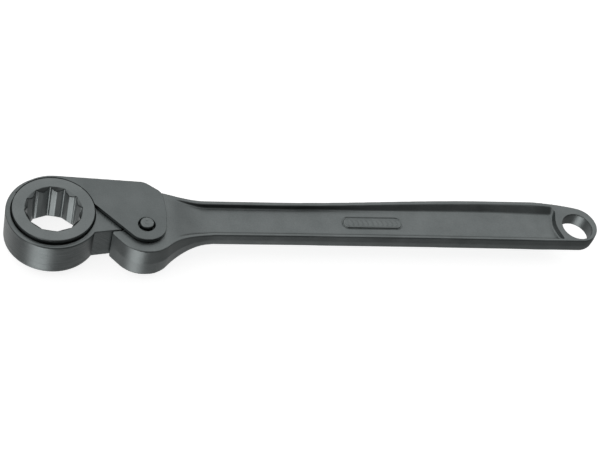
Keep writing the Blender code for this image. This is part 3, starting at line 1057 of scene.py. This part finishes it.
@dataclass(frozen=True)
class Head:
    """Clamp collar, side plates and the pin that joins them to the handle."""

    layout: Layout
    slit_w: float = 2.0
    slit_y: float = 5.7
    rim: float = 1.6
    rim_shift: float = 0.9
    rim_end: float = 150.0
    foot_r: float = 12.4
    corner_r: float = 9.0
    top_corner: Point = (-2.0, 25.6)
    side_corner: Point = (3.6, 21.2)
    bulge: float = 0.6
    diagonal: float = 42.3
    sink_r: float = 5.5
    sink_slope: float = 0.6
    edge_r: float = 0.35
    collar_edge: Point = (0.7, 0.35)
    edge_from: Point = (20.0, 26.0)
    bore_edge: float = 0.3
    dimple: tuple[float, float, float] = (1.1, 1.5, 0.25)
    pin_edge: float = 0.7
    collar_grid: float = 0.4
    plate_grid: tuple[float, float, float] = (0.45, 0.45, 0.2)

    @property
    def rim_r(self) -> float:
        """Radius of the plate's rim round the flange."""
        return self.layout.flange_r + self.layout.gap + self.rim

    def from_pin(self, offset: Point) -> Point:
        """A place given from the pin."""
        return self.layout.pin[0] + offset[0], self.layout.pin[1] + offset[1]

    def top_line(self) -> float:
        """Direction square to the plates' straight edge."""
        return touching_line((self.rim_shift, 0), self.rim_r, self.from_pin(self.top_corner), self.corner_r, 1)

    def plate_outline(self) -> list[Point]:
        """A side plate from above.

        Returns:
            The closed outline.
        """
        pin, cut_r = self.layout.pin, self.layout.flange_r + self.layout.gap
        top, side = self.from_pin(self.top_corner), self.from_pin(self.side_corner)
        normal = on_circle((0, 0), 1, self.diagonal)
        distance = pin[0] * normal[0] + pin[1] * normal[1] - self.foot_r
        cut_start = self.diagonal - math.degrees(math.acos(distance / cut_r))
        top_line = self.top_line()
        chamfer = touching_line(top, self.corner_r, side, self.corner_r, 1)
        back = touching_line(side, self.corner_r, pin, self.foot_r, 1)
        points = arc((0, 0), cut_r, cut_start, self.rim_end)
        points += arc((self.rim_shift, 0), self.rim_r, self.rim_end, top_line)
        points += arc(top, self.corner_r, top_line, chamfer)
        points += arc(side, self.corner_r, chamfer, back)
        start, end = on_circle(side, self.corner_r, back), on_circle(pin, self.foot_r, back)
        for t in spread(0, 1, 0.1)[1:-1]:
            swell = self.bulge * math.sin(math.pi * t)
            points.append((start[0] + (end[0] - start[0]) * t + swell, start[1] + (end[1] - start[1]) * t))
        return points + arc(pin, self.foot_r, back, self.diagonal - 180)

    def collar_outline(self) -> list[Point]:
        """The collar with its lug and arm from above.

        Returns:
            The closed outline.
        """
        radius, lug_x = self.layout.collar_r, self.layout.lug_x
        top_line = self.top_line()
        reach = self.rim_r + self.rim_shift * math.cos(math.radians(top_line)) - self.layout.gap
        top_start = top_line - math.degrees(math.acos(reach / radius))
        slope = math.degrees(math.atan(self.layout.arm_slope))
        arm_distance = -self.layout.arm_edge(0) * math.cos(math.radians(slope))
        arm_start = -90 + slope + math.degrees(math.acos(arm_distance / radius))
        normal = on_circle((0, 0), 1, top_line)
        lug_top = (reach - normal[0] * lug_x) / normal[1]
        ends = [(lug_x, self.layout.arm_edge(lug_x)), (lug_x, lug_top)]
        return arc((0, 0), radius, top_start, arm_start + 360) + ends

    def collar_distance(self, x: Array, y: Array, z: Array) -> Array:
        """Distance to the collar, negative in the steel.

        Args:
            x: places along X.
            y: places along Y.
            z: places along Z.

        Returns:
            The distance at each place.
        """
        level, layout = np.abs(z), self.layout
        side = outline_distance(self.collar_outline(), x, y)
        wide, fine = self.collar_edge
        start, end = self.edge_from
        edge = wide - (wide - fine) * ease((x - start) / (end - start))
        body = both(side, level - layout.collar_half, edge)
        body = cut(body, round_distance((0, 0), layout.bore_r, x, y), self.bore_edge)
        seat_wall = round_distance((0, 0), layout.flange_r + layout.seat_gap, x, y)
        seat = both(seat_wall, layout.seat_z - level, 0.1)
        body = cut(body, seat, 0.15)
        slit = np.maximum(np.abs(y - self.slit_y) - self.slit_w / 2, layout.insert_r / 2 - x)
        return cut(cut(body, slit, self.bore_edge), layout.dowel_distance(x, y), 0.1)

    def plate_distance(self, x: Array, y: Array, z: Array) -> Array:
        """Distance to a side plate that lies on z = 0, negative in the steel.

        Args:
            x: places along X.
            y: places along Y.
            z: places along Z.

        Returns:
            The distance at each place.
        """
        side = outline_distance(self.plate_outline(), x, y)
        thickness = self.layout.plate_t
        body = both(side, np.abs(z - thickness / 2) - thickness / 2, self.edge_r)
        away = np.hypot(x - self.layout.pin[0], y - self.layout.pin[1])
        sink = away - self.sink_r + (thickness - z) * self.sink_slope
        hole = np.minimum(away - self.layout.pin_r - self.layout.gap, sink)
        body = cut(body, np.maximum(self.layout.dowel_distance(x, y), z - self.layout.dowel_depth), 0.1)
        return cut(body, hole, 0.1)

    def build_plate(self, name: str, side: int) -> bpy.types.Object:
        """Builds one side plate.

        Args:
            name: the CAD node that it stands for.
            side: 1 for the upper plate, -1 for the lower one.

        Returns:
            The plate.
        """
        low, high = plan_box(name)
        sampling = Sampling((low[0], low[1], 0), (high[0], high[1], self.layout.plate_t), self.plate_grid)
        points, faces = sampling.surface(self.plate_distance)
        points[:, 2] = side * (points[:, 2] + self.layout.plate_out - self.layout.plate_t)
        return mesh_object(f"{name}_blank", to_place(points), faces if side > 0 else faces[:, ::-1])

    def build_pin(self) -> bpy.types.Object:
        """Builds the shouldered pin with a small centre dimple in each end.

        Returns:
            The new object.
        """
        top, shoulder = self.layout.pin_top, self.layout.collar_half
        neck = self.layout.pin_r
        wide = neck + self.layout.pin_shoulder
        floor_r, mouth_r, deep = self.dimple
        half = [(0, top - deep, 0), (floor_r, top - deep, 0.3), (mouth_r, top, 0.2)]
        half += [(neck, top, self.pin_edge), (neck, shoulder, 0), (wide, shoulder, 0.3)]
        corners = half + [(r, -z, size) for r, z, size in reversed(half)]
        return turned("pivot_pin_turned", rounded_profile(corners)[::-1], Matrix.Translation(PIN_PLACE))

    def build(self, wardrobe: Wardrobe) -> list[bpy.types.Object]:
        """Builds and dresses the head.

        Args:
            wardrobe: the materials.

        Returns:
            The head's pieces.
        """
        points, faces = Sampling.of_node("clamp_collar", self.collar_grid).surface(self.collar_distance)
        collar = mesh_object("clamp_collar_machined", to_place(points), faces)
        wardrobe.dress(collar, MACHINED, RING_PLACE)
        made = [(collar, "clamp_collar", "forged_steel")]
        for node, side in (("cheek_plate_top", 1), ("cheek_plate_bottom", -1)):
            plate = self.build_plate(node, side)
            wardrobe.dress(plate, PLATE, RING_PLACE)
            made.append((plate, node, "plate_steel"))
        pin = self.build_pin()
        wardrobe.dress(pin, PIN, PIN_PLACE)
        made.append((pin, "pivot_pin", "pin_steel"))
        for piece, node, slot in made:
            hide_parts(node)
            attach(piece, "head")
        dowels = [frame["nodes"][name] for name in DOWELS]
        for dowel in dowels:
            wardrobe.dress(dowel, PIN, PIN_PLACE)
        return [piece for piece, _, _ in made] + dowels


@dataclass(frozen=True)
class Ring:
    """Twelve-point ring with the washer and snap ring that hold it in the collar."""

    layout: Layout
    mouth: float = 0.35
    lower_mouth: float = 1.3
    ridge_soft: float = 0.5
    relief_r: float = 0.9
    washer_t: float = 1.2
    snap_t: float = 1.2
    snap_w: float = 2.4
    snap_seat: float = 0.8
    snap_opening: float = 20.0
    body_edge: float = 0.4
    flange_edge: float = 0.35
    socket_edge: float = 0.2
    mouth_edge: float = 0.15
    grid: float = 0.35
    snap_grid: float = 0.2

    @property
    def washer_top(self) -> float:
        """Level of the washer's upper face."""
        return -self.layout.seat_z - self.layout.gap

    @property
    def snap_z(self) -> float:
        """Level of the snap ring's middle."""
        return self.washer_top - self.washer_t - self.layout.gap - self.snap_t / 2

    def insert_distance(self, x: Array, y: Array, z: Array) -> Array:
        """Distance to the ring, negative in the steel.

        Args:
            x: places along X.
            y: places along Y.
            z: places along Z.

        Returns:
            The distance at each place.
        """
        layout = self.layout
        tail = -plan_box("ring_insert")[0][2]
        ends = np.maximum(-z - tail, z - layout.flange_top)
        body = both(round_distance((0, 0), layout.insert_r, x, y), ends, self.body_edge)
        flange = both(
            round_distance((0, 0), layout.flange_r, x, y),
            np.maximum(z - layout.flange_top, layout.seat_z + layout.gap - z),
            self.flange_edge,
        )
        body = joined(body, flange, 0.1)
        groove = both(
            -round_distance((0, 0), layout.insert_r - self.snap_seat - layout.gap, x, y),
            np.abs(z - self.snap_z) - self.snap_t / 2 - layout.gap / 2,
            0.05,
        )
        body = cut(body, groove, 0.1)
        body = cut(body, self.socket_distance(x, y), self.socket_edge)
        reach, mouth_r = np.hypot(x, y), layout.corner_r + self.mouth
        top = (reach - mouth_r + (layout.flange_top - z)) / math.sqrt(2)
        bottom = (reach - mouth_r - self.lower_mouth + (z + tail)) / math.sqrt(2)
        return cut(cut(body, top, self.mouth_edge), bottom, self.mouth_edge)

    def socket_distance(self, x: Array, y: Array) -> Array:
        """Distance to the twelve-point socket, its ridges rounded and its corners relieved.

        Args:
            x: places along X.
            y: places along Y.

        Returns:
            The distance at each place.
        """
        layout, soft = self.layout, self.ridge_soft
        grown = (layout.across_flats / 2 + soft) / (layout.across_flats / 2)
        radii = (layout.corner_r * grown, layout.ridge_r * grown)
        star = [on_circle((0, 0), radii[i % 2], layout.socket_turn + 15 * i) for i in range(24)]
        socket = outline_distance(star, x, y) + soft
        relief = layout.corner_r + self.mouth - self.relief_r
        for i in range(12):
            corner = on_circle((0, 0), relief, layout.socket_turn + 30 * i)
            socket = np.minimum(socket, round_distance(corner, self.relief_r, x, y))
        return socket

    def snap_distance(self, x: Array, y: Array, z: Array) -> Array:
        """Distance to the open snap ring about its own middle, negative in the steel.

        Args:
            x: places along X.
            y: places along Y.
            z: places along Z.

        Returns:
            The distance at each place.
        """
        inner = self.layout.insert_r - self.snap_seat
        middle, half = inner + self.snap_w / 2, self.snap_w / 2
        band = np.abs(np.hypot(x, y) - middle) - half
        angle = np.abs(np.degrees(np.arctan2(y, x)))
        opening = (self.snap_opening / 2 - angle) * math.radians(1) * middle
        band = both(band, opening, 0.4)
        return both(band, np.abs(z) - self.snap_t / 2, 0.25)

    def build(self, wardrobe: Wardrobe) -> list[bpy.types.Object]:
        """Builds and dresses the ring.

        Args:
            wardrobe: the materials.

        Returns:
            The ring's pieces.
        """
        layout = self.layout
        points, faces = Sampling.of_node("ring_insert", self.grid).surface(self.insert_distance)
        insert = mesh_object("ring_insert_turned", to_place(points), faces)
        washer_top = self.washer_top
        inner = layout.insert_r + layout.gap
        corners = [(inner, washer_top, 0.15), (inner, washer_top - self.washer_t, 0.15)]
        outer = layout.flange_r
        corners += [(outer, washer_top - self.washer_t, 0.25), (outer, washer_top, 0.25)]
        washer = turned("retaining_washer_turned", rounded_profile(corners), Matrix.Translation(RING_PLACE))
        outer = layout.insert_r - self.snap_seat + self.snap_w
        extent = (outer, outer, self.snap_t / 2)
        sampling = Sampling(tuple(-v for v in extent), extent, (self.grid, self.grid, self.snap_grid))
        points, faces = sampling.surface(self.snap_distance)
        snap = mesh_object("snap_ring_formed", to_place(points + np.array([0, 0, self.snap_z])), faces)
        made = [(insert, "ring_insert", RING), (washer, "retaining_washer", RING)]
        made += [(snap, "snap_ring", SPRING)]
        for piece, node, finish in made:
            wardrobe.dress(piece, finish, RING_PLACE)
            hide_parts(node)
            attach(piece, "ring")
        return [piece for piece, _, _ in made]


@dataclass(frozen=True)
class Detent:
    """Plunger and spring in the handle's head that hold the nose on the collar's arm."""

    layout: Layout
    radius: float = 3.0
    tip: float = 1.0
    wire_r: float = 0.45
    turns: int = 6
    per_turn: int = 24
    sides: int = 12
    stroke: float = 1.5

    def build_plunger(self) -> bpy.types.Object:
        """Builds the plunger with its tapered tip towards the collar.

        Returns:
            The new object.
        """
        low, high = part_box("plunger")
        length = (high[0] - low[0]) / MM
        corners = [(0, 0, 0), (self.radius - self.tip, 0, 0.4), (self.radius, self.tip, 0.3)]
        corners += [(self.radius, length, 0.4), (0, length, 0)]
        place = Matrix.Translation((low[0], (low[1] + high[1]) / 2, (low[2] + high[2]) / 2))
        place = place @ Matrix.Rotation(math.pi / 2, 4, "Y")
        return turned("plunger_turned", rounded_profile(corners), place, 64)

    def build_spring(self) -> bpy.types.Object:
        """Builds the coil spring as a swept round wire with closed ends.

        Returns:
            The new object.
        """
        low, high = (Vector(corner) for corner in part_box("plunger_spring"))
        mean_r = self.radius - self.wire_r
        length = (high.x - low.x) / MM - 2 * self.wire_r
        count = self.turns * self.per_turn + 1
        angle = np.arange(count) * 2 * math.pi / self.per_turn
        wire = np.arange(self.sides) * 2 * math.pi / self.sides
        reach = mean_r + self.wire_r * np.cos(wire)[None, :]
        along = self.wire_r + np.linspace(0, length, count)[:, None] + self.wire_r * np.sin(wire)[None, :]
        rows = [along, reach * np.cos(angle)[:, None], reach * np.sin(angle)[:, None]]
        points = np.stack(rows, axis=2).reshape(-1, 3)
        step, side = np.meshgrid(np.arange(count - 1), np.arange(self.sides), indexing="ij")
        beside = (side + 1) % self.sides
        n = self.sides
        corners = (step * n + side, step * n + beside, (step + 1) * n + beside, (step + 1) * n + side)
        faces = np.stack([corner.ravel() for corner in corners], axis=1)
        caps = []
        for first, way in ((0, 1), ((count - 1) * n, -1)):
            for i in range(1, n // 2):
                caps.append([first + k for k in (i - 1, i, n - 1 - i, (n - i) % n)][::way])
        centre = np.array([low.x, (low.y + high.y) / 2, (low.z + high.z) / 2])
        faces = np.concatenate([faces, np.array(caps)])
        return mesh_object("plunger_spring_coil", points * MM + centre, faces)

    def build(self, wardrobe: Wardrobe) -> list[bpy.types.Object]:
        """Builds and dresses the detent.

        Args:
            wardrobe: the materials.

        Returns:
            The detent's pieces.
        """
        plunger, spring = self.build_plunger(), self.build_spring()
        wardrobe.dress(plunger, PIN, PIN_PLACE)
        wardrobe.dress(spring, SPRING, PIN_PLACE)
        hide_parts("plunger")
        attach(plunger, "plunger")
        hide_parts("plunger_spring")
        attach(spring, "handle")
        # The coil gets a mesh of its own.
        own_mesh(spring)
        return [plunger, spring]


# ------------------------------------------------------------------ studio


@dataclass(frozen=True)
class Glow:
    """A soft patch of light or shade in the studio round the tool.

    Attributes:
        towards: direction of its middle, as seen from the tool.
        inner: half-angle, in degrees, within which it is full.
        outer: half-angle at which it ends.
        strength: light that it adds; negative takes light away.
    """

    towards: tuple[float, float, float]
    inner: float
    outer: float
    strength: float


@dataclass(frozen=True)
class Studio:
    """Pale floor, soft light from all round, and the camera."""

    eye: tuple[float, float, float] = (-75.3, -526.5, 625.7)
    right: tuple[float, float, float] = (0.96224, -0.16145, 0.21912)
    back: tuple[float, float, float] = (-0.27180, -0.61259, 0.74220)
    lens: float = 79.7
    sky: float = 0.92
    ground: float = 0.22
    dimmest: float = 0.13
    glows: tuple[Glow, ...] = (
        # Dark room behind the camera.
        Glow((0.30, -0.75, 0.60), 32, 60, -0.84),
        # White table close under the tool, and beyond it.
        Glow((0.0, 0.0, -1.0), 28, 42, 0.40),
        Glow((-0.10, 0.66, -0.74), 30, 55, 0.35),
        # Reflector in front, on the left.
        Glow((-0.34, -0.66, -0.66), 10, 24, 2.15),
    )

    def camera(self) -> None:
        """Adds the camera."""
        data = bpy.data.cameras.new("camera")
        data.lens = self.lens
        data.sensor_width = 36.0
        data.clip_start, data.clip_end = 0.01, 20.0
        camera = bpy.data.objects.new("camera", data)
        right, back = Vector(self.right).normalized(), Vector(self.back).normalized()
        up = back.cross(right).normalized()
        right = up.cross(back)
        flange = Vector((RING_PLACE.x, RING_PLACE.y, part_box("ring_insert")[1][2]))
        turn = Matrix((right, up, back)).transposed().to_4x4()
        camera.matrix_world = Matrix.Translation(flange + Vector(self.eye) * MM) @ turn
        bpy.context.scene.collection.objects.link(camera)
        bpy.context.scene.camera = camera

    def floor(self) -> None:
        """Adds the pale floor that the tool lies on."""
        size = 6.0
        points = np.array([(-size, -size, 0), (size, -size, 0), (size, size, 0), (-size, size, 0)])
        floor = mesh_object("floor", points, np.array([[0, 1, 2, 3]]))
        material = bpy.data.materials.new("matt_white_paper")
        material.use_nodes = True
        shader = material.node_tree.nodes["Principled BSDF"]
        shader.inputs["Base Color"].default_value = linear("b0b0b0")
        shader.inputs["Roughness"].default_value = 0.9
        shader.inputs["Emission Color"].default_value = linear("ffffff")
        shader.inputs["Emission Strength"].default_value = 0.85
        floor.data.materials.append(material)
        floor.visible_glossy = False

    def light(self) -> None:
        """Adds the soft studio light as a world of sky, ground and glows."""
        world = bpy.data.worlds.new("studio")
        bpy.context.scene.world = world
        world.use_nodes = True
        tree = world.node_tree
        tree.nodes.clear()
        direction = add_node(tree, "ShaderNodeTexCoord", {}).outputs["Generated"]
        height = add_node(tree, "ShaderNodeSeparateXYZ", {0: direction}).outputs["Z"]
        total = add_node(
            tree,
            "ShaderNodeMapRange",
            {"Value": height, "From Min": 0.08, "From Max": 0.5, "To Min": self.ground, "To Max": self.sky},
            interpolation_type="SMOOTHSTEP",
        ).outputs["Result"]
        for glow in self.glows:
            middle = Vector(glow.towards).normalized()
            near = add_node(
                tree, "ShaderNodeVectorMath", {0: direction, 1: middle}, operation="DOT_PRODUCT"
            ).outputs["Value"]
            patch = add_node(
                tree,
                "ShaderNodeMapRange",
                {
                    "Value": near,
                    "From Min": math.cos(math.radians(glow.outer)),
                    "From Max": math.cos(math.radians(glow.inner)),
                    "To Max": glow.strength,
                },
                interpolation_type="SMOOTHSTEP",
            ).outputs["Result"]
            total = add_node(tree, "ShaderNodeMath", {0: total, 1: patch}, operation="ADD").outputs[0]
        total = add_node(
            tree, "ShaderNodeMath", {0: total, 1: self.dimmest}, operation="MAXIMUM"
        ).outputs[0]
        background = add_node(tree, "ShaderNodeBackground", {"Color": (1, 1, 1, 1), "Strength": total})
        add_node(tree, "ShaderNodeOutputWorld", {"Surface": background.outputs[0]})

    def build(self) -> None:
        """Sets up camera, floor and light, with a plain view of the colours."""
        self.camera()
        self.floor()
        self.light()
        bpy.context.scene.view_settings.view_transform = "Standard"


def main() -> None:
    """Builds the tool and the studio, and reports each piece."""
    logging.basicConfig(level=logging.INFO, format="%(message)s")
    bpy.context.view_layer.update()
    layout = Layout()
    wardrobe = Wardrobe()
    for assembly in (Handle(layout), Head(layout), Ring(layout), Detent(layout)):
        for piece in assembly.build(wardrobe):
            LOG.info("%s: %s, %d faces", type(assembly).__name__, piece.name, len(piece.data.polygons))
    Studio().build()


if __name__ == "__main__":
    main()
